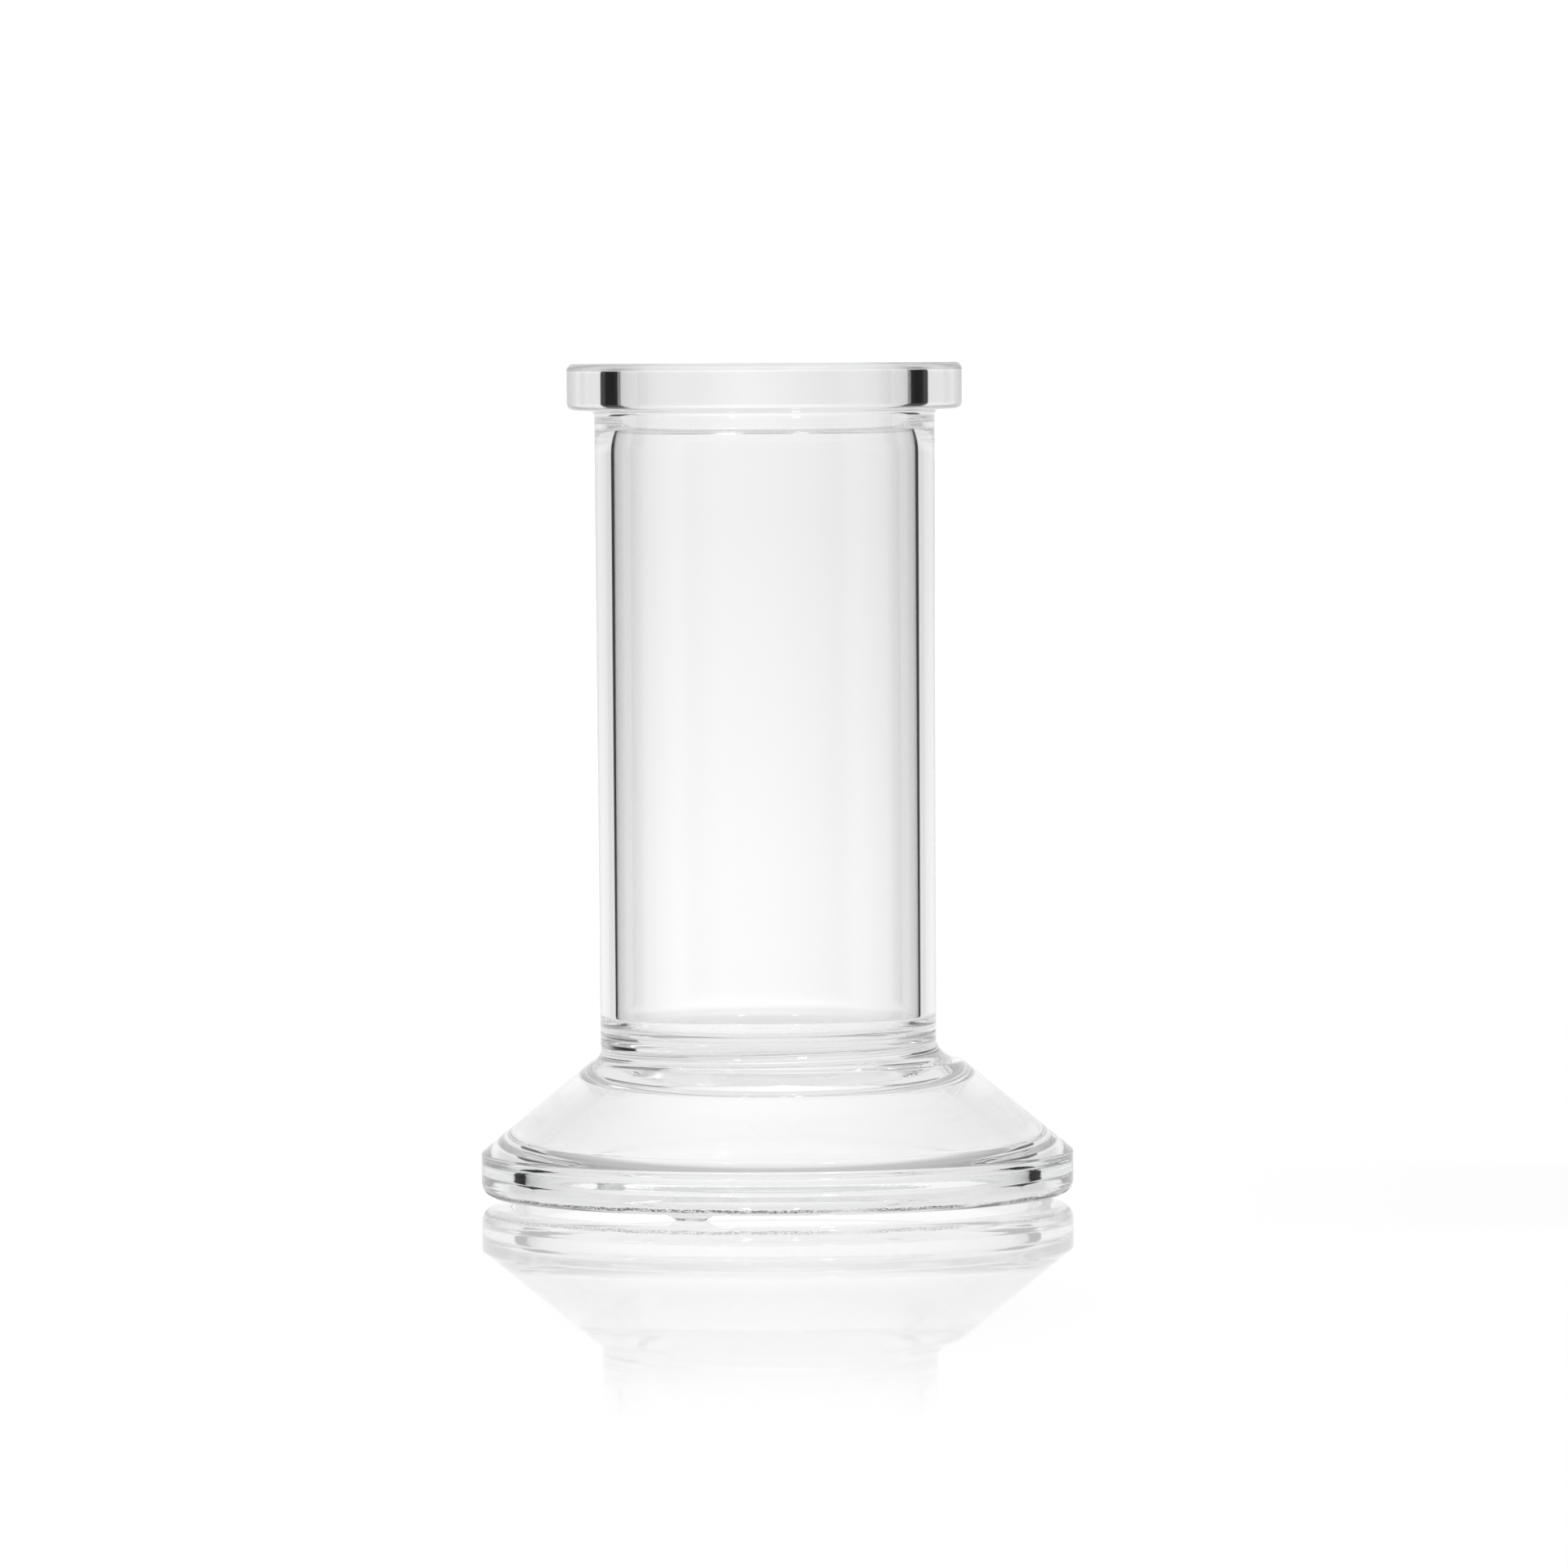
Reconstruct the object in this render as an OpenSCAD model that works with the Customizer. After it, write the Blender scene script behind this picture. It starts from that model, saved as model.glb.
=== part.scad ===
// Gas jar: one piece of blown and pressed glass, a straight tube with a ground
// flange round its mouth, a solid floor and a hollow spreading foot.
// +Z is up. The origin is where the foot's axis meets the surface it stands on.
// Lengths are in millimetres, angles in degrees.

/* [Tube] */
// Height of the whole jar, from the resting pads to the ground rim
jar_h = 150; // [110:1:300]
// Diameter of the bore
bore_d = 54; // [40:0.5:64]
// Thickness of the tube's wall just under the flange
wall_top = 3.5; // [2:0.1:5]
// Thickness of the tube's wall just above the foot
wall_low = 3.1; // [2:0.1:5]
// Radius of the rounding between the bore and its floor
bore_corner_r = 3; // [1:0.1:4]
// How far the bore narrows on each side before it meets its floor
bore_taper_w = 0.8; // [0.2:0.1:1.5]
// Height over which the bore narrows
bore_taper_h = 3.4; // [3:0.1:8]
// Sideways offset of the tube from the foot's axis, left by hand assembly
tube_offset = 1.5; // [0:0.1:1.6]

/* [Flange] */
// How far the flange's edge stands out from the bore
flange_w = 8.4; // [6:0.1:12]
// Height of the flange
flange_h = 8.4; // [5:0.1:14]
// Radius of the flange's two outer edges
flange_edge_r = 1.3; // [0.4:0.1:2.4]
// Radius of the fillet between the flange's underside and the tube
flange_fillet_r = 1.2; // [0.5:0.1:2.4]
// Radius of the mouth's inner edge
mouth_edge_r = 1.6; // [0.2:0.1:2]
// How far the bore narrows on each side inside the flange
mouth_inset = 0.7; // [0.2:0.1:1]
// Height of the narrowed mouth
mouth_inset_h = 9.4; // [5:0.1:14]

/* [Foot] */
// Diameter of the foot
foot_d = 106.2; // [100:0.2:160]
// Height of the foot's upright rim
foot_rim_h = 7.7; // [5:0.1:14]
// Height of the whole foot, from its base ring to the step under the neck
foot_h = 23.9; // [20:0.1:40]
// Width of the step that the foot's top leaves around the neck
step_w = 2.1; // [2:0.1:6]
// Radius of the edge around the step
step_edge_r = 1.2; // [0.3:0.1:1.2]
// Radius of the edge between the upright rim and the sloping side
rim_edge_r = 0.7; // [0.3:0.1:3]
// Radius of the rounding between the upright rim and the base ring
base_edge_r = 2.6; // [1:0.1:3.5]
// How far the tube's wall spreads where it meets the foot
neck_spread = 1.1; // [0.4:0.1:1.6]
// Radius of the fillet where the tube's wall turns out onto the step
neck_fillet_r = 3.3; // [1:0.1:5]

/* [Recess under the foot] */
// Width of the base ring, from the foot's edge to the recess
ring_w = 7.9; // [6:0.1:12]
// Height of the recess's upright wall
recess_wall_h = 6.4; // [6:0.1:9]
// How far the recess's mouth flares out, from its wall to the base ring
mouth_flare_w = 2; // [0.5:0.1:3]
// Height of the flare at the recess's mouth
mouth_flare_h = 3.4; // [1.5:0.1:4]
// Radius of the edge between the flare and the base ring
mouth_flare_edge_r = 0.8; // [0.3:0.1:1]
// Radius of the corner where the recess's wall turns inwards
recess_bend_r = 2.8; // [1:0.1:5]
// Diameter of the recess's flat top
recess_top_d = 61.4; // [40:0.2:64]
// Radius of the rounding around the recess's top
recess_corner_r = 5; // [1:0.1:6]
// Thickness of glass between the recess's top and the step of the foot
foot_roof_t = 6.2; // [4:0.1:8]
// Thickness of the jar's floor, from the recess's top to the bore's floor
floor_t = 10.9; // [9:0.1:16]

/* [Resting pads] */
// Number of moulded pads under the base ring
pad_count = 3; // [3:1:6]
// Height of a pad
pad_h = 1; // [0.5:0.1:2]
// Length of a pad's flat face, along the base ring
pad_face_l = 5.8; // [3:0.1:7]
// Length of a pad where it joins the base ring
pad_root_l = 7.6; // [7.2:0.1:10]
// Width of a pad, across the base ring
pad_w = 2.2; // [1.5:0.1:2.3]
// Direction of the first pad, anticlockwise from +X
pad_turn = 252; // [0:0.5:360]

/* [Hidden] */
$fn = 144;

// angle between neighbouring points on a rounded corner
arc_step = 9;
// how deep a joined piece reaches into its neighbour
sink = 1.2;
// least flat width left on the base ring between its flare and its outer rounding
ring_flat_w = 1.4;
// radius of the bend where the bore starts to narrow
bore_bend_r = 3;
// radius of the bend between the flare and the recess's upright wall
flare_bend_r = 1.5;
// height over which the bore eases into its narrowed mouth
mouth_ease_h = 4.3;
// radii of the two bends at the ends of that ease
mouth_bend_r = 6;
ease_bend_r = 30;
// most that each rounding may take, as a multiple of the short wall beside it
fillet_per_ledge = 0.9;
fillet_per_spread = 3;
corner_per_taper = 0.9;
bend_per_wall = 1.4;

bore_r = bore_d / 2;
mouth_r = bore_r - mouth_inset;
tube_top_r = bore_r + wall_top;
tube_low_r = bore_r + wall_low;
flange_r = bore_r + flange_w;
neck_r = tube_low_r + neck_spread;

foot_r = foot_d / 2;
step_r = neck_r + step_w;
recess_r = foot_r - ring_w;
recess_top_r = recess_top_d / 2;

base_z = pad_h;
rim_z = base_z + foot_rim_h;
step_z = base_z + foot_h;
recess_bend_z = base_z + recess_wall_h;
recess_top_z = step_z - foot_roof_t;
bore_floor_z = recess_top_z + floor_t;
flange_z = jar_h - flange_h;
mouth_z = jar_h - mouth_inset_h;

// roundings and the flare are limited by the walls that they are on
flange_fillet = min(flange_fillet_r, (flange_w - wall_top - flange_edge_r) * fillet_per_ledge);
neck_fillet = min(neck_fillet_r, neck_spread * fillet_per_spread);
bore_corner = min(bore_corner_r, bore_taper_h * corner_per_taper);
recess_bend = min(recess_bend_r, (recess_wall_h - mouth_flare_h) * bend_per_wall);
flare_w = min(mouth_flare_w, ring_w - base_edge_r - ring_flat_w);
// middle of the base ring's flat
pad_ring_r = (recess_r + flare_w + foot_r - base_edge_r) / 2;

function unit(v) = v / norm(v);

// Points along the rounding of radius r at corner p, between its neighbours a and b
function rounding(a, p, b, r) =
    let (
        u = unit(a - p),
        v = unit(b - p),
        half = acos(u * v) / 2,
        centre = p + unit(u + v) * r / sin(half),
        start = p + u * r / tan(half) - centre,
        side = sign(cross(u, v)),
        sweep = 180 - 2 * half,
        steps = ceil(sweep / arc_step)
    )
    [for (i = [0:steps])
        let (turn = -side * sweep * i / steps)
        centre + [start.x * cos(turn) - start.y * sin(turn),
                  start.x * sin(turn) + start.y * cos(turn)]];

// Closed outline through corners given as [radius, height, rounding]
function outline(corners) =
    let (n = len(corners))
    [for (i = [0:n - 1])
        let (
            before = corners[(i + n - 1) % n],
            here = corners[i],
            after = corners[(i + 1) % n],
            p = [here.x, here.y]
        )
        each here.z > 0
            ? rounding([before.x, before.y], p, [after.x, after.y], here.z)
            : [p]];

// Tube, flange and bore, turned about the tube's own axis
module tube() {
    translate([-tube_offset, 0, 0])
        rotate_extrude()
            polygon(outline([
                [0, step_z - sink, 0],
                [neck_r, step_z - sink, 0],
                [neck_r, step_z, 0],
                [tube_low_r, step_z + neck_spread, neck_fillet],
                [tube_top_r, flange_z, flange_fillet],
                [flange_r, flange_z, flange_edge_r],
                [flange_r, jar_h, flange_edge_r],
                [mouth_r, jar_h, mouth_edge_r],
                [mouth_r, mouth_z, mouth_bend_r],
                [bore_r, mouth_z - mouth_ease_h, ease_bend_r],
                [bore_r, bore_floor_z + bore_taper_h, bore_bend_r],
                [bore_r - bore_taper_w, bore_floor_z, bore_corner],
                [0, bore_floor_z, 0]
            ]));
}

// Spreading foot with the recess under it, turned about the foot's axis
module foot() {
    rotate_extrude()
        polygon(outline([
            [0, recess_top_z, 0],
            [recess_top_r, recess_top_z, recess_corner_r],
            [recess_r, recess_bend_z, recess_bend],
            [recess_r, base_z + mouth_flare_h, flare_bend_r],
            [recess_r + flare_w, base_z, mouth_flare_edge_r],
            [foot_r, base_z, base_edge_r],
            [foot_r, rim_z, rim_edge_r],
            [step_r, step_z, step_edge_r],
            [0, step_z, 0]
        ]));
}

// Pads that the jar stands on, spaced evenly under the base ring
module resting_pads() {
    intersection() {
        for (i = [0:pad_count - 1])
            rotate([0, 0, pad_turn + i * 360 / pad_count])
                translate([pad_ring_r, 0, 0]) {
                    cylinder(h = pad_h, d1 = pad_face_l, d2 = pad_root_l);
                    translate([0, 0, pad_h])
                        cylinder(h = sink, d = pad_root_l);
                }
        rotate_extrude()
            translate([pad_ring_r - pad_w / 2, 0])
                square([pad_w, pad_h + sink]);
    }
}

// The whole jar is one piece of clear glass
module jar() {
    color([0.86, 0.9, 0.89, 0.5]) {
        tube();
        foot();
        resting_pads();
    }
}

jar();
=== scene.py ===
import math

import bmesh
import bpy
from mathutils import Euler, Matrix, Vector


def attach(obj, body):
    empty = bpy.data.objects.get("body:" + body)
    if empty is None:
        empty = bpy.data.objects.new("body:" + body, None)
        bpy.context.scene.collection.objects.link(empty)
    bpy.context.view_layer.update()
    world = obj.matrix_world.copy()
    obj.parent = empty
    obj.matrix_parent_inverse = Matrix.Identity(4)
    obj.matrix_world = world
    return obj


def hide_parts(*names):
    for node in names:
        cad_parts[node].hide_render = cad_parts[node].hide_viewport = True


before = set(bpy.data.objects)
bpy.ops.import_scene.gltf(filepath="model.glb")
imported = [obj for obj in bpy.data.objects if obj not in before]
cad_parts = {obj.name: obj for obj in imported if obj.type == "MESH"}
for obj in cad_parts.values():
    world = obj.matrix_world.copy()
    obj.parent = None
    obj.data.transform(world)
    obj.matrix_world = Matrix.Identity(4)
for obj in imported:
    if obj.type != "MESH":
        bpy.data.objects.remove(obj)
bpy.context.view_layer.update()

# A glass gas jar: one piece of blown and pressed glass on a polished white
# bench, lit by soft panels. Sizes are in millimetres, as in the CAD model.

MM = 0.001
scene = bpy.context.scene


def linear(code):
    """An sRGB hex colour as linear red, green, blue and alpha."""
    parts = [int(code[i:i + 2], 16) / 255 for i in (0, 2, 4)]
    return [p / 12.92 if p <= 0.04045 else ((p + 0.055) / 1.055) ** 2.4 for p in parts] + [1]


def add(tree, kind, inputs=None, **settings):
    """Adds a node with its settings; an input is a value or another node's output."""
    node = tree.nodes.new("ShaderNode" + kind)
    for name, value in settings.items():
        setattr(node, name, value)
    for socket, value in (inputs or {}).items():
        if isinstance(value, bpy.types.NodeSocket):
            tree.links.new(value, node.inputs[socket])
        else:
            node.inputs[socket].default_value = value
    return node


def calc(tree, operation, first, second=None):
    """The result of a sum on numbers or on other nodes' outputs."""
    inputs = {0: first} if second is None else {0: first, 1: second}
    return add(tree, "Math", inputs, operation=operation).outputs[0]


def move(tree, operation, first, second=None):
    """The result of a sum on places: three numbers, or another node's output."""
    inputs = {0: first} if second is None else {0: first, 1: second}
    return add(tree, "VectorMath", inputs, operation=operation).outputs[0]


def length(tree, place):
    """How far a place lies from the origin."""
    return add(tree, "VectorMath", {0: place}, operation="LENGTH").outputs["Value"]


def axes(tree, place):
    """The three numbers of a place."""
    return add(tree, "SeparateXYZ", {0: place}).outputs


def mix(tree, share, first, second):
    """A colour between two, by a share from 0 to 1."""
    return add(tree, "Mix", {0: share, 6: first, 7: second}, data_type="RGBA").outputs[2]


def between(tree, pattern, low, high, least, most):
    """Turns a pattern from low..high into least..most."""
    return add(tree, "MapRange", {
        "Value": pattern, "From Min": low, "From Max": high, "To Min": least, "To Max": most}).outputs[0]


def grey(level, full=2.0):
    """A flat grey, stored as a share of full so that levels over 1 fit."""
    return [level / full] * 3 + [1]


def grade(tree, factor, stops, top, full=2.0):
    """A ramp of grey levels over (place, level) stops; places run from 0 to top."""
    node = add(tree, "ValToRGB", {0: calc(tree, "DIVIDE", factor, top)})
    ramp = node.color_ramp
    ramp.elements.remove(ramp.elements[1])
    for i, (place, level) in enumerate(stops):
        stop = ramp.elements[0] if i == 0 else ramp.elements.new(place / top)
        stop.position = place / top
        stop.color = grey(level, full)
    return node.outputs[0]


# ---------------------------------------------------------------- camera
CAMERA_AWAY = 1906        # from the foot's axis
CAMERA_UP = 150           # level with the ground rim
LENS = 244.34
TILT_DOWN = 2.267
TURN_RIGHT = 0.048
ROLL = 0.36

camera = bpy.data.objects.new("camera", bpy.data.cameras.new("camera"))
scene.collection.objects.link(camera)
camera.data.sensor_width = 36
camera.data.lens = LENS
camera.data.clip_end = 50
camera.location = (0, -CAMERA_AWAY * MM, CAMERA_UP * MM)
level = Euler((math.radians(90 - TILT_DOWN), 0, 0)).to_matrix()
turn = Matrix.Rotation(math.radians(-TURN_RIGHT), 3, "Z")
roll = Matrix.Rotation(math.radians(-ROLL), 3, "Z")
camera.rotation_euler = (turn @ level @ roll).to_euler()
scene.camera = camera

# ---------------------------------------------------------------- the jar's shape
JAR_H = 150
TUBE_OFFSET = -1.5        # the tube sits a little to one side of the foot
BASE_Z = 1                # the base ring clears the bench by a pad's height
BORE_R = 27
MOUTH_R = 26.3            # the wall thickens a little inside the flange
FLOOR_Z = 29.6
FLANGE_R = 35.4
FOOT_R = 53.1
RECESS_R = 45.2
RECESS_TOP_R = 30.7
RECESS_TOP_Z = 18.7
SEGMENTS = 360
STEPS_PER_CORNER = 16     # for a quarter turn
FEWEST_STEPS = 5
BESIDE_CORNER = 0.25      # a ring just beside each rounding keeps the walls true
ROOM_BESIDE = 3 * BESIDE_CORNER

# How each stretch of the skin was finished
BLOWN, GROUND, PRESSED, STANDING, PLUNGED, PONTIL = range(6)

# Corners of the outline: radius, height, rounding, sideways offset of the ring,
# and the finish from this corner to the next.
# From the bore's floor up to the mouth, down the outside and back under the foot.
CORNERS = [
    (0, FLOOR_Z, 0, TUBE_OFFSET, BLOWN),
    (26.2, FLOOR_Z, 3, TUBE_OFFSET, BLOWN),
    (BORE_R, 33, 3, TUBE_OFFSET, BLOWN),
    (BORE_R, 136.3, 30, TUBE_OFFSET, BLOWN),
    (MOUTH_R, 140.6, 6, TUBE_OFFSET, BLOWN),
    (MOUTH_R, JAR_H, 1.6, TUBE_OFFSET, GROUND),
    (FLANGE_R, JAR_H, 1.3, TUBE_OFFSET, BLOWN),
    (FLANGE_R, 141.6, 1.3, TUBE_OFFSET, BLOWN),
    (30.5, 141.6, 1.2, TUBE_OFFSET, BLOWN),
    (30.1, 25.9, 3.3, TUBE_OFFSET, PRESSED),
    (33.3, 24.9, 1.2, 0, PRESSED),
    (FOOT_R, 8.7, 0.7, 0, STANDING),
    (FOOT_R, BASE_Z, 2.6, 0, STANDING),
    (47.2, BASE_Z, 0.8, 0, PLUNGED),
    (RECESS_R, 4.4, 1.5, 0, PLUNGED),
    (RECESS_R, 7.4, 2.8, 0, PLUNGED),
    (RECESS_TOP_R, RECESS_TOP_Z, 5, 0, PONTIL),
    (0, RECESS_TOP_Z, 0, 0, PONTIL),
]

PAD_TURNS = (252, 12, 132)               # degrees, anticlockwise from +X
PAD_RING_R = 48.85
PAD_RINGS = (1.1, 0.9, 0, -0.9, -1.1)    # rings across the pads, from their middle
PAD_LENGTH = 6.7
PAD_WIDTH = 2
PAD_SIDE = 0.1            # half the run of a pad's sloping side
PAD_END = 0.45            # half the run of a pad's sloping end
PADS_BELOW = 3            # no pad reaches above this height


def rounded(corners):
    """The outline as rings (radius, height, offset, finish), with each corner rounded."""
    count = len(corners)
    points = [Vector((c[0], c[1])) for c in corners]
    angle, reach = [math.pi] * count, [0.0] * count
    for i in range(1, count - 1):
        angle[i] = (points[i - 1] - points[i]).angle(points[i + 1] - points[i])
        reach[i] = corners[i][2] / math.tan(angle[i] / 2)
    for i in range(1, count - 2):          # neighbours share a short wall
        wall = (points[i + 1] - points[i]).length * 0.999
        need = reach[i] + reach[i + 1]
        if need > wall:
            reach[i], reach[i + 1] = reach[i] * wall / need, reach[i + 1] * wall / need
    rings = []
    for i, (radius, height, _, offset, finish) in enumerate(corners):
        if reach[i] == 0:
            rings.append((radius, height, offset, finish))
            continue
        before = corners[i - 1][4]
        back, ahead = points[i - 1] - points[i], points[i + 1] - points[i]
        lean_back = (corners[i - 1][3] - offset) / back.length
        lean_ahead = (corners[i + 1][3] - offset) / ahead.length
        u, v = back.normalized(), ahead.normalized()
        r = reach[i] * math.tan(angle[i] / 2)
        centre = points[i] + (u + v).normalized() * r / math.sin(angle[i] / 2)
        start, end = points[i] + u * reach[i] - centre, points[i] + v * reach[i] - centre
        first, last = math.atan2(start.y, start.x), math.atan2(end.y, end.x)
        sweep = (last - first + math.pi) % math.tau - math.pi
        steps = max(FEWEST_STEPS, round(STEPS_PER_CORNER * abs(sweep) / (math.pi / 2)))
        room_back = back.length - reach[i] - reach[i - 1]
        room_ahead = ahead.length - reach[i] - reach[i + 1]
        beside = reach[i] + BESIDE_CORNER
        if room_back > ROOM_BESIDE:
            p = points[i] + u * beside
            rings.append((p.x, p.y, offset + lean_back * beside, before))
        for step in range(steps + 1):
            part = step / steps
            way = first + sweep * part
            lean = lean_back * reach[i] * (1 - part) + lean_ahead * reach[i] * part
            rings.append((
                centre.x + r * math.cos(way), centre.y + r * math.sin(way),
                offset + lean, finish if step == steps else before))
        if room_ahead > ROOM_BESIDE:
            p = points[i] + v * beside
            rings.append((p.x, p.y, offset + lean_ahead * beside, finish))
        if (radius, height) == (FOOT_R, BASE_Z):
            for out in PAD_RINGS:
                rings.append((PAD_RING_R + out, height, offset, finish))
    return rings


def pad_share(radius, turn):
    """How far a point of the base ring belongs to a resting pad, from 0 to 1."""
    if abs(radius - PAD_RING_R) > PAD_WIDTH:
        return 0
    best = 0
    for middle in PAD_TURNS:
        away = abs((turn - middle + 180) % 360 - 180)
        along = math.radians(away) * PAD_RING_R
        ends = (PAD_LENGTH / 2 + PAD_END - along) / (2 * PAD_END)
        sides = (PAD_WIDTH / 2 + PAD_SIDE - abs(radius - PAD_RING_R)) / (2 * PAD_SIDE)
        best = max(best, min(1, max(0, ends)) * min(1, max(0, sides)))
    return best


def turned_glass(rings):
    """The jar's skin: rings of points joined into one closed mesh."""
    mesh = bmesh.new()
    loops = []
    for radius, height, offset, _ in rings:
        if radius == 0:
            loops.append([mesh.verts.new((offset * MM, 0, height * MM))] * SEGMENTS)
            continue
        loop = []
        for i in range(SEGMENTS):
            turn = math.tau * i / SEGMENTS
            z = height
            if height < PADS_BELOW:
                z = height * (1 - pad_share(radius, math.degrees(turn)))
            x, y = offset + radius * math.cos(turn), radius * math.sin(turn)
            loop.append(mesh.verts.new((x * MM, y * MM, z * MM)))
        loops.append(loop)
    for (_, _, _, finish), lower, upper in zip(rings, loops, loops[1:]):
        for i in range(SEGMENTS):
            j = (i + 1) % SEGMENTS
            corners = list(dict.fromkeys([lower[i], lower[j], upper[j], upper[i]]))
            mesh.faces.new(corners).material_index = finish
    bmesh.ops.recalc_face_normals(mesh, faces=mesh.faces)
    for face in mesh.faces:
        face.smooth = True
    data = bpy.data.meshes.new("gas_jar")
    mesh.to_mesh(data)
    mesh.free()
    jar = bpy.data.objects.new("gas_jar", data)
    scene.collection.objects.link(jar)
    return jar


jar = turned_glass(rounded(CORNERS))

# ---------------------------------------------------------------- glass
GLASS_IOR = 1.5
SEAM_SHADE_COLOUR = "3A3C3C"    # painted shade: dark specks where the ragged seam scatters light away
ROUND_R = 45              # marks round the axis are measured along this radius
SEAM_Z = 1.85             # the mould's seam round the foot
BLOOM_R = 0.039           # metres: the middle of the cone's haze
BLOOM_WIDTH = (0.003, 0.006)    # full as far as this to each side, and gone at this


def around(tree, place):
    """Places as metres round the axis, out from it and up: for marks that run round."""
    x, y, z = axes(tree, place)
    turn = calc(tree, "ARCTAN2", x, calc(tree, "MULTIPLY", y, -1))
    out = length(tree, add(tree, "CombineXYZ", {0: x, 1: y}).outputs[0])
    round_it = calc(tree, "MULTIPLY", turn, ROUND_R * MM)
    return add(tree, "CombineXYZ", {0: round_it, 1: out, 2: z}).outputs[0]


def cloud(tree, place, size, long=1, detail=2):
    """Soft random marks, size millimetres apart and longer by a factor along the first axis."""
    squeezed = move(tree, "MULTIPLY", place, (1 / long, 1, 1))
    return add(tree, "TexNoise", {"Vector": squeezed, "Scale": 1 / (size * MM), "Detail": detail}).outputs[0]


def clean(tree, place):
    """No marks."""
    return 0.0


def glass(name, colour, roughness, height, marks=clean):
    """A clear glass; roughness, height and marks are functions that add their pattern to the tree; marks darken
    the colour as painted shade.
    """
    material = bpy.data.materials.new(name)
    material.use_nodes = True
    tree = material.node_tree
    tree.nodes.clear()
    place = add(tree, "TexCoord").outputs["Object"]
    deep, pattern = height(tree, place)
    bump = add(tree, "Bump", {"Strength": 1.0, "Distance": deep * MM, "Height": pattern})
    # painted shade: the marks darken the glass's colour
    tint_and_painted_shade = mix(tree, marks(tree, place), linear(colour), linear(SEAM_SHADE_COLOUR))
    shader = add(tree, "BsdfPrincipled", {
        "Base Color": tint_and_painted_shade, "IOR": GLASS_IOR, "Transmission Weight": 1.0,
        "Roughness": roughness(tree, place), "Normal": bump.outputs[0]})
    add(tree, "OutputMaterial", {"Surface": shader.outputs[0]})
    return material


# Soda-lime glass, blown and fire-polished: mirror-smooth, but the wall is never
# quite true, so what shows through it wavers a little over a few centimetres.
def blown_wave(tree, place):
    return 0.004, cloud(tree, place, 22, detail=0)


def blown_polish(tree, place):
    return between(tree, cloud(tree, place, 30), 0.55, 0.8, 0.0, 0.01)


# The rim, ground flat on a wheel with fine grit: frosted, with a soft sheen.
def ground_grain(tree, place):
    return 0.01, cloud(tree, place, 0.25, detail=4)


def ground_haze(tree, place):
    return between(tree, cloud(tree, place, 3), 0.3, 0.7, 0.3, 0.42)


# Glass pressed in an iron mould and fire-polished: a smooth skin with a faint
# orange peel and shallow streaks that run round it.
def pressed_peel(tree, place):
    streaks = cloud(tree, around(tree, place), 3, long=12, detail=1)
    peel = calc(tree, "MULTIPLY", cloud(tree, place, 6, detail=0), 1.2)
    return 0.0015, calc(tree, "ADD", streaks, peel)


def pressed_polish(tree, place):
    return between(tree, cloud(tree, place, 9), 0.55, 0.8, 0.0, 0.015)


# The rim of the foot, where the two parts of the mould met: a ragged seam runs
# round it just above the base ring, with chilled pits along it.
def seam_zone(tree, place):
    """A band half a millimetre high, in patches round the foot."""
    wander = between(tree, cloud(tree, around(tree, place), 5), 0, 1, -0.0003, 0.0003)
    off = calc(tree, "SUBTRACT", calc(tree, "ADD", axes(tree, place)[2], wander), SEAM_Z * MM)
    band = between(tree, calc(tree, "ABSOLUTE", off), 0.0002, 0.0004, 1, 0.01)
    patches = between(tree, cloud(tree, around(tree, place), 14, detail=1), 0.34, 0.46, 0.1, 1)
    return calc(tree, "MULTIPLY", band, patches)


def chilled_pits(tree, place):
    pits = cloud(tree, around(tree, place), 0.35, long=1.6, detail=3)
    return 0.4, calc(tree, "MULTIPLY", pits, seam_zone(tree, place))


def chilled_haze(tree, place):
    return calc(tree, "MULTIPLY", seam_zone(tree, place), 0.3)


# Painted shade: dark specks painted into the colour along the seam, standing in for light that the ragged glass
# scatters away.
def seam_shade_specks(tree, place):
    specks = between(tree, cloud(tree, around(tree, place), 0.28, long=1.6, detail=2), 0.4, 0.54, 0, 1)
    return calc(tree, "MULTIPLY", specks, seam_zone(tree, place))


def plunger_bloom(tree, place):
    """A faint haze on the cone of the recess, where the cooler plunger touched the glass."""
    out = axes(tree, around(tree, place))[1]
    off = calc(tree, "ABSOLUTE", calc(tree, "SUBTRACT", out, BLOOM_R))
    return between(tree, off, *BLOOM_WIDTH, 0.12, 0)


# The hollow, shaped by a plunger: fine streaks round it where the tool turned.
def plunger_streaks(tree, place):
    fine = cloud(tree, around(tree, place), 0.7, long=22, detail=2)
    return 0.002, calc(tree, "ADD", fine, calc(tree, "MULTIPLY", cloud(tree, place, 5), 2))


def plunger_polish(tree, place):
    polish = between(tree, cloud(tree, around(tree, place), 2, long=8), 0.5, 0.8, 0.0, 0.05)
    return calc(tree, "ADD", polish, plunger_bloom(tree, place))


# The middle of the foot, where the hot glass was broken off the iron and melted
# smooth again: rippled marks near the centre that die out towards the edge.
def pontil_ripple(tree, place):
    bent = move(tree, "ADD", place, calc(tree, "MULTIPLY", cloud(tree, place, 9), 0.006))
    ripple = cloud(tree, bent, 2.6, long=2.2, detail=3)
    away = length(tree, move(tree, "MULTIPLY", place, (1, 1.6, 0)))
    return 0.06, calc(tree, "MULTIPLY", ripple, between(tree, away, 0.009, 0.02, 1, 0.1))


def pontil_polish(tree, place):
    return between(tree, cloud(tree, place, 4), 0.5, 0.8, 0.0, 0.04)


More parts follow.
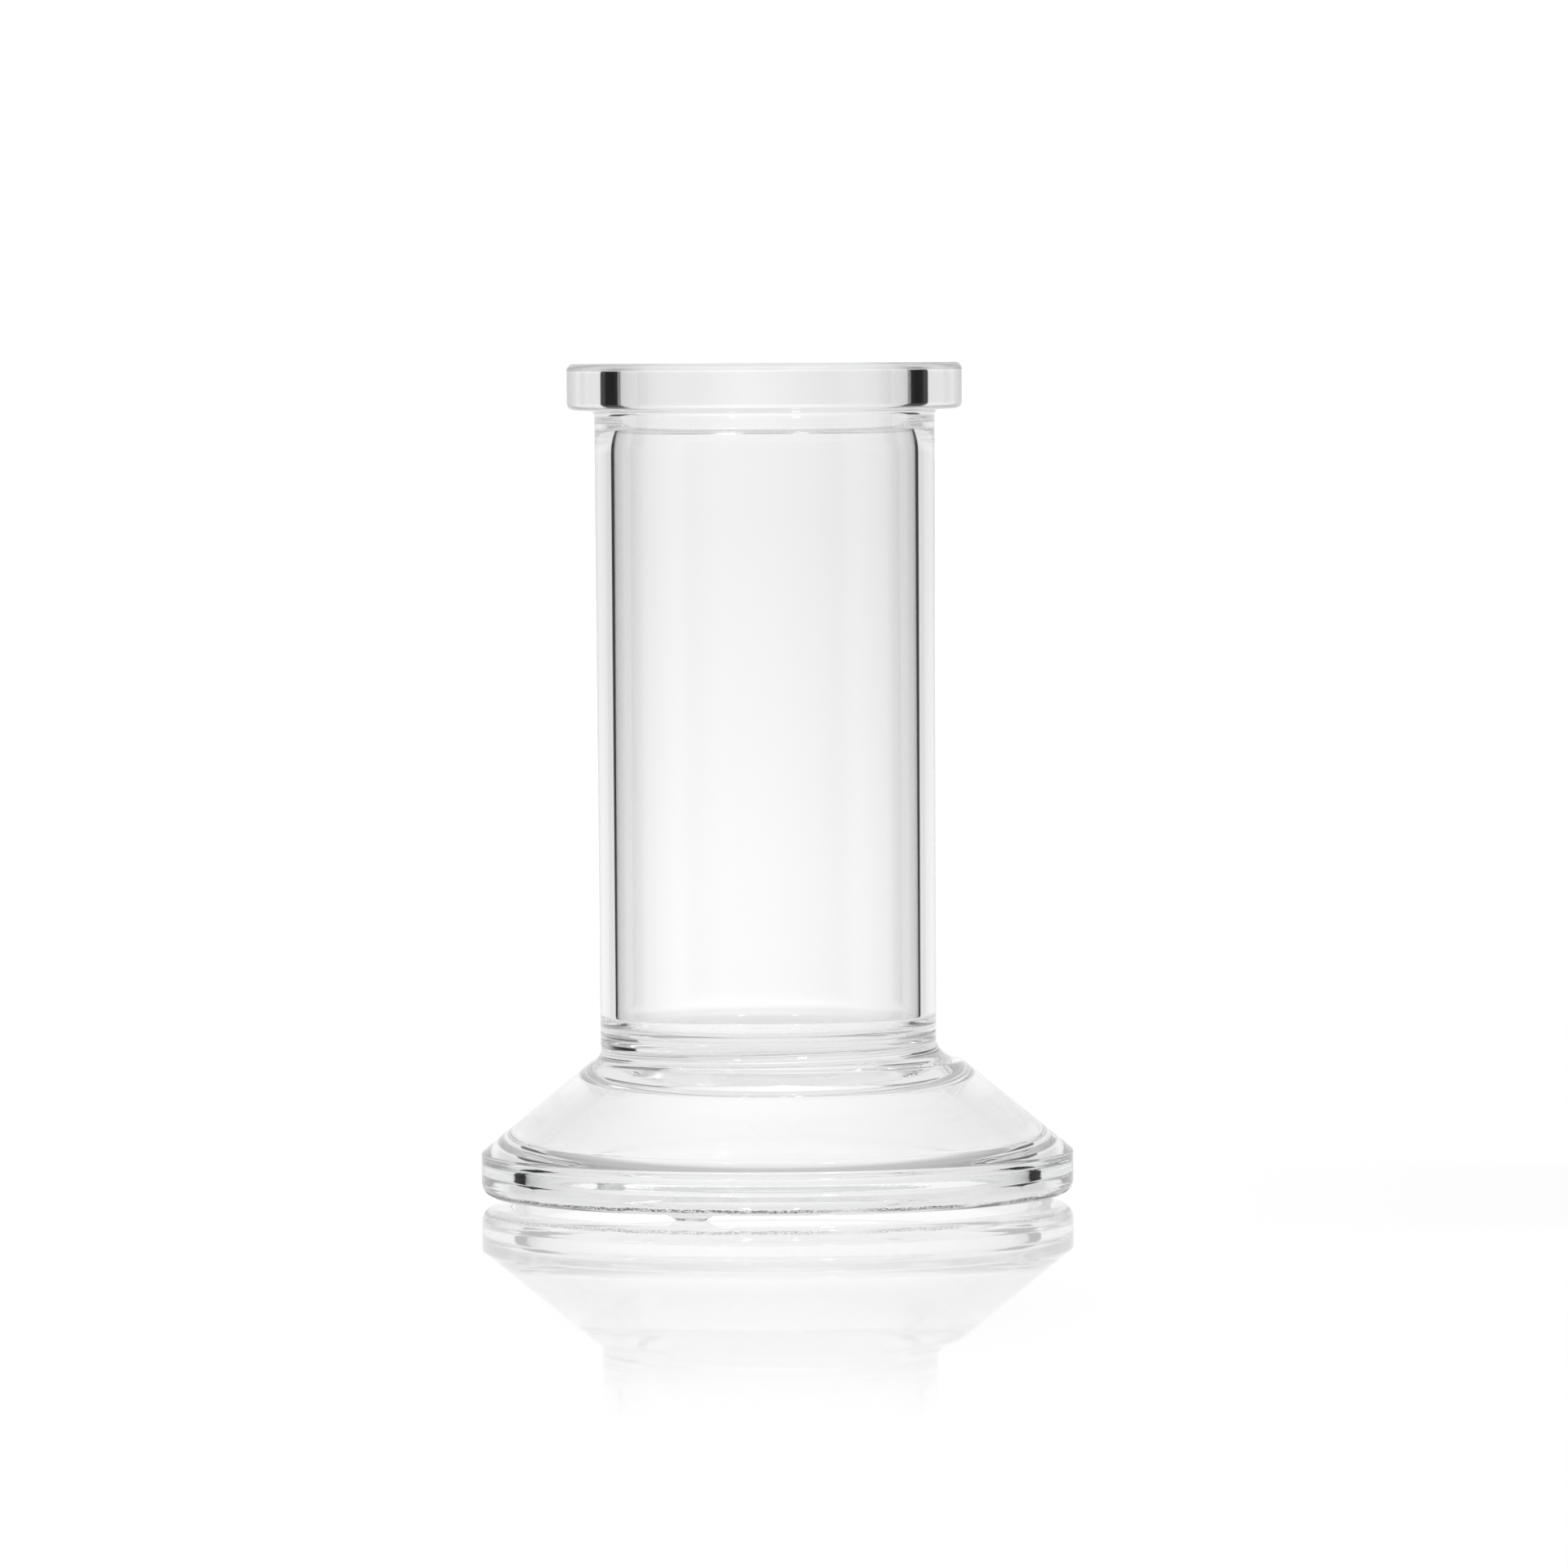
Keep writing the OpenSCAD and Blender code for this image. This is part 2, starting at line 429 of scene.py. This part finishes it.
# In the order of the finishes: BLOWN, GROUND, PRESSED, STANDING, PLUNGED, PONTIL
for finish in (
        glass("soda_glass_blown_fire_polished", "FFFFFF", blown_polish, blown_wave),
        glass("soda_glass_ground_rim", "FDFEFE", ground_haze, ground_grain),
        glass("soda_glass_pressed_foot", "FFFFFF", pressed_polish, pressed_peel),
        # the base ring carries dark specks of painted shade along its seam
        glass("soda_glass_chilled_base_ring", "FCFDFD", chilled_haze, chilled_pits, seam_shade_specks),
        glass("soda_glass_plunger_shaped", "FFFFFF", plunger_polish, plunger_streaks),
        glass("soda_glass_melted_pontil_mark", "FFFFFF", pontil_polish, pontil_ripple)):
    jar.data.materials.append(finish)

# ---------------------------------------------------------------- bench and light
# White acrylic sheet, polished: it glows evenly, with a painted shadow inside the base ring and a painted shade
# in front of the jar, and mirrors the jar softly at a low angle.
BENCH_R = 800
BENCH_SIDES = 96

# Levels over metres from the jar's axis
# what the glass picks up: painted light under the tube and a painted shadow from the thick base ring
GLOW = [
    (0, .9), (.029, .88), (.034, .58), (.0445, .34), (.0465, .8),
    (.065, .88), (.09, .9), (.3, .93), (.8, .95)]
GLOW_BEHIND = .84                  # the far side glows evenly, with no painted shadow
BEHIND = (0.005, 0.02)
# painted shade: the jar's soft shade on the sheet in front of it, as the camera sees it
SHADE = [(0, .935), (.06, .94), (.1, .965), (.15, 1), (.8, 1)]
SHADE_MIDDLE = (0, 0.19, 0)
SHADE_SHAPE = (2.6, 1, 0)          # narrower than it is long
# the polish shows in line with the jar, seen from the front or from a side
SHINE = [(0, 1), (.15, 1), (.2, .8), (.3, .5), (.4, 0)]
SHINE_EDGE = (0.055, 0.085)
SHEET_IOR = 1.15
SHEET_ROUGHNESS = 0.02
# what light inside the glass finds: the flatter it meets the sheet, the more it mirrors
LOW_ANGLE = [(0, .04), (.58, .08), (.74, .2), (.86, .9), (.9, .995), (1, .995)]


def polished_bench():
    """A white sheet that glows evenly, with a painted shadow inside the base ring and a painted shade in front
    of the jar, and mirrors the jar.
    """
    mesh = bmesh.new()
    bmesh.ops.create_circle(mesh, cap_ends=True, segments=BENCH_SIDES, radius=BENCH_R * MM)
    data = bpy.data.meshes.new("bench")
    mesh.to_mesh(data)
    mesh.free()
    bench = bpy.data.objects.new("bench", data)
    scene.collection.objects.link(bench)
    material = bpy.data.materials.new("white_acrylic_sheet_polished")
    material.use_nodes = True
    tree = material.node_tree
    tree.nodes.clear()
    seen = add(tree, "LightPath").outputs["Is Camera Ray"]
    place = add(tree, "NewGeometry").outputs["Position"]
    x, y, _ = axes(tree, place)
    away = length(tree, place)
    far = BENCH_R * MM

    # painted shadow inside the base ring on the near side; the far side glows evenly
    behind = between(tree, y, *BEHIND, 0, 1)
    glow = mix(tree, behind, grade(tree, away, GLOW, far), grey(GLOW_BEHIND))
    off_shade = length(tree, move(tree, "MULTIPLY", move(tree, "ADD", place, SHADE_MIDDLE), SHADE_SHAPE))
    # the camera sees the painted shade in front of the jar instead
    glow = mix(tree, seen, glow, grade(tree, off_shade, SHADE, far))
    light = add(tree, "Emission", {0: glow, 1: 2.0}).outputs[0]

    beside = calc(tree, "MINIMUM", calc(tree, "ABSOLUTE", x), calc(tree, "ABSOLUTE", y))
    shine = grade(tree, away, SHINE, far, full=1.0)
    shine = calc(tree, "MULTIPLY", shine, between(tree, beside, *SHINE_EDGE, 1, 0))
    faint = calc(tree, "MULTIPLY", add(tree, "Fresnel", {0: SHEET_IOR}).outputs[0], shine)
    facing = add(tree, "LayerWeight", {0: 0.5}).outputs["Facing"]
    strong = grade(tree, facing, LOW_ANGLE, 1.0, full=1.0)
    share = add(tree, "Mix", {0: seen, 2: strong, 3: faint}, data_type="FLOAT").outputs[0]
    rough = calc(tree, "MULTIPLY", seen, SHEET_ROUGHNESS)
    mirror = add(tree, "BsdfGlossy", {0: (1, 1, 1, 1), "Roughness": rough}).outputs[0]
    add(tree, "OutputMaterial", {0: add(tree, "MixShader", {0: share, 1: light, 2: mirror}).outputs[0]})
    data.materials.append(material)


polished_bench()


# Levels over degrees to either side of straight behind the jar
PANELS = [
    (0, 1), (39.5, 1), (40.7, .005), (56, .005), (68, .85),
    (108, .85), (122, .005), (126, .005), (150, .15), (180, .15)]
# the same panels, turned down at the sides for what the glass mirrors
PANELS_MIRRORED = [
    (0, 1), (39.5, 1), (40.7, .005), (56, .005), (68, .06),
    (108, .06), (122, .005), (126, .005), (150, .08), (180, .08)]
# what the jar's outer skin mirrors: no hard edges
SHEEN = [(0, .95), (30, .85), (50, .4), (62, .12), (80, .06), (120, .05), (180, .06)]
# where light that bounced often comes out weak
ASIDE = [(0, 0), (17, 0), (20, 1), (180, 1)]
OFTEN = .2
# a lamp behind the back panel, a little to the left
LAMP = [(0, 1.13), (2, 1.1), (5, 1.04), (8, 1.0), (14, .96), (25, .92), (45, .88), (180, .88)]
LAMP_BEARING = -1.5
# Levels over degrees upwards, counted from LOWEST
LOWEST = -10
UPWARD = [(0, 1), (7.4, 1), (9.4, .91), (16, .91), (20, .92), (30, .87), (100, .87)]
UPWARD_MIRRORED = [(0, 1), (7.4, 1), (9.4, .91), (12, .91), (12.9, 1), (20, .97), (30, .87), (100, .87)]
CEILING = [(0, 0), (32, 0), (35, 1), (100, 1)]
CEILING_LEVEL = .2
TENT_POWER = 8.0
BACKDROP = 1.2                     # what the camera sees: plain white


def light_tent():
    """Soft panels behind and overhead with dark gaps between; the camera itself sees plain white."""
    world = bpy.data.worlds.new("light_tent")
    scene.world = world
    world.use_nodes = True
    tree = world.node_tree
    tree.nodes.clear()
    path = add(tree, "LightPath").outputs
    x, y, z = axes(tree, add(tree, "TexCoord").outputs["Generated"])
    bearing = calc(tree, "MULTIPLY", calc(tree, "ARCTAN2", x, y), math.degrees(1))
    off = calc(tree, "ABSOLUTE", bearing)

    bounced = calc(tree, "GREATER_THAN", path["Glossy Depth"], 0.5)
    often = calc(tree, "GREATER_THAN", path["Glossy Depth"], 2.5)
    shallow = calc(tree, "LESS_THAN", path["Transmission Depth"], 2.5)
    outside = calc(tree, "LESS_THAN", path["Transmission Depth"], 0.5)
    low = mix(
        tree, calc(tree, "MULTIPLY", bounced, shallow),
        grade(tree, off, PANELS, 180), grade(tree, off, PANELS_MIRRORED, 180))
    low = mix(tree, calc(tree, "MULTIPLY", bounced, outside), low, grade(tree, off, SHEEN, 180))
    weak = calc(tree, "MULTIPLY", calc(tree, "MULTIPLY", often, shallow), grade(tree, off, ASIDE, 180, full=1.0))
    low = mix(tree, weak, low, grey(OFTEN))

    off_lamp = calc(tree, "ABSOLUTE", calc(tree, "SUBTRACT", bearing, LAMP_BEARING))
    rise = calc(tree, "MULTIPLY", calc(tree, "ARCSINE", z), math.degrees(1))
    rise = calc(tree, "SUBTRACT", rise, LOWEST)
    upward = mix(tree, bounced, grade(tree, rise, UPWARD, 100), grade(tree, rise, UPWARD_MIRRORED, 100))
    for pattern in (grade(tree, off_lamp, LAMP, 180), upward):
        low = add(tree, "Mix", {0: 1.0, 6: low, 7: pattern}, data_type="RGBA", blend_type="MULTIPLY").outputs[2]
    both = mix(tree, grade(tree, rise, CEILING, 100, full=1.0), low, grey(CEILING_LEVEL))
    tent = add(tree, "Background", {0: both, 1: TENT_POWER}).outputs[0]
    white = add(tree, "Background", {0: (1, 1, 1, 1), 1: BACKDROP}).outputs[0]
    shown = add(tree, "MixShader", {0: path["Is Camera Ray"], 1: tent, 2: white}).outputs[0]
    add(tree, "OutputWorld", {0: shown})


light_tent()


def softbox(name, bearing, rise, away, width, height, power):
    """A small white panel facing the jar; bearing is measured from the back."""
    turn, up = math.radians(bearing), math.radians(rise)
    out = Vector((math.sin(turn) * math.cos(up), math.cos(turn) * math.cos(up), math.sin(up)))
    side = Vector((math.cos(turn), -math.sin(turn), 0))
    over = side.cross(out)
    mesh = bmesh.new()
    corners = [(-1, -1), (1, -1), (1, 1), (-1, 1)]
    mesh.faces.new([
        mesh.verts.new((out * away + side * width / 2 * a + over * height / 2 * b) * MM) for a, b in corners])
    data = bpy.data.meshes.new(name)
    mesh.to_mesh(data)
    mesh.free()
    box = bpy.data.objects.new(name, data)
    scene.collection.objects.link(box)
    material = bpy.data.materials.new("softbox_cloth_" + name)
    material.use_nodes = True
    tree = material.node_tree
    tree.nodes.clear()
    add(tree, "OutputMaterial", {0: add(tree, "Emission", {1: power}).outputs[0]})
    data.materials.append(material)
    box.visible_camera = False


SOFTBOX_TURN = 24.6       # to each side of the front
SOFTBOX_RISE = 38
SOFTBOX_AWAY = 1500
softbox("softbox_right", 180 - SOFTBOX_TURN, SOFTBOX_RISE, SOFTBOX_AWAY, 140, 260, 14)
softbox("softbox_left", 180 + SOFTBOX_TURN, SOFTBOX_RISE, SOFTBOX_AWAY, 110, 220, 7)

scene.view_settings.view_transform = "Standard"
# thick glass keeps light in for many bounces; too few would leave black bands
BOUNCES = 80
scene.cycles.max_bounces = BOUNCES
scene.cycles.transmission_bounces = BOUNCES
scene.cycles.glossy_bounces = BOUNCES

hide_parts("jar")
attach(jar, "root")
